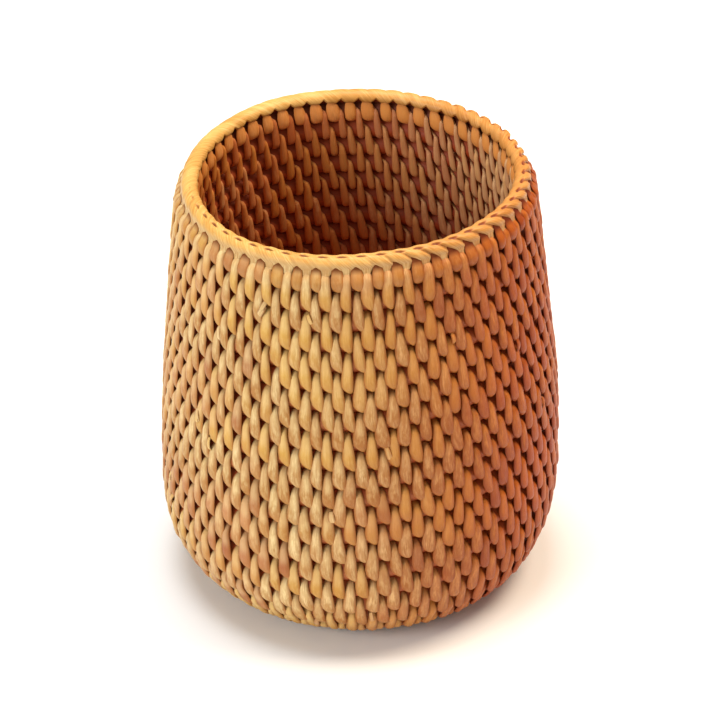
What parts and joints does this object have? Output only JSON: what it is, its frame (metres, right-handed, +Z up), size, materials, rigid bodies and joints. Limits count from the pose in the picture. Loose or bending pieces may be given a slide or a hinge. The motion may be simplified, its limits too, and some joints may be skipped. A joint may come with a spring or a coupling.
{
  "type": "wastebasket",
  "caption": "Round coiled rattan wastebasket, open at the top, widest low down, curving under to a flat base and narrowing to a bound rim.",
  "frame": {"origin": "centre of the underside, where the basket rests", "axes": "+Z up along the basket's axis; the basket is round, and -Y is the side taken as its front"},
  "size_m": [0.2468, 0.2468, 0.2772],
  "materials": {
    "rattan_rod": "dry peeled rattan core, lightly aged, matte",
    "lashing_strip": "split rattan strip, honey tan, satin",
    "rim_strip": "wider rattan strip, golden, satin"
  },
  "bodies": {
    "root": {"base_coil_01": "rattan_rod", "base_coil_02": "rattan_rod", "base_coil_03": "rattan_rod", "base_coil_04": "rattan_rod", "base_coil_05": "rattan_rod", "base_coil_06": "rattan_rod", "wall_coil_01": "rattan_rod", "wall_coil_02": "rattan_rod", "wall_coil_03": "rattan_rod", "wall_coil_04": "rattan_rod", "wall_coil_05": "rattan_rod", "wall_coil_06": "rattan_rod", "wall_coil_07": "rattan_rod", "wall_coil_08": "rattan_rod", "wall_coil_09": "rattan_rod", "wall_coil_10": "rattan_rod", "wall_coil_11": "rattan_rod", "wall_coil_12": "rattan_rod", "wall_coil_13": "rattan_rod", "wall_coil_14": "rattan_rod", "wall_coil_15": "rattan_rod", "wall_coil_16": "rattan_rod", "wall_coil_17": "rattan_rod", "wall_coil_18": "rattan_rod", "wall_coil_19": "rattan_rod", "wall_coil_20": "rattan_rod", "wall_coil_21": "rattan_rod", "rim_rod": "rattan_rod", "base_lashing_01": "lashing_strip", "base_lashing_02": "lashing_strip", "base_lashing_03": "lashing_strip", "base_lashing_04": "lashing_strip", "base_lashing_05": "lashing_strip", "wall_lashing_01": "lashing_strip", "wall_lashing_02": "lashing_strip", "wall_lashing_03": "lashing_strip", "wall_lashing_04": "lashing_strip", "wall_lashing_05": "lashing_strip", "wall_lashing_06": "lashing_strip", "wall_lashing_07": "lashing_strip", "wall_lashing_08": "lashing_strip", "wall_lashing_09": "lashing_strip", "wall_lashing_10": "lashing_strip", "wall_lashing_11": "lashing_strip", "wall_lashing_12": "lashing_strip", "wall_lashing_13": "lashing_strip", "wall_lashing_14": "lashing_strip", "wall_lashing_15": "lashing_strip", "wall_lashing_16": "lashing_strip", "wall_lashing_17": "lashing_strip", "wall_lashing_18": "lashing_strip", "wall_lashing_19": "lashing_strip", "wall_lashing_20": "lashing_strip", "wall_lashing_21": "lashing_strip", "rim_lashing": "lashing_strip", "rim_binding": "rim_strip"}
  },
  "joints": []
}
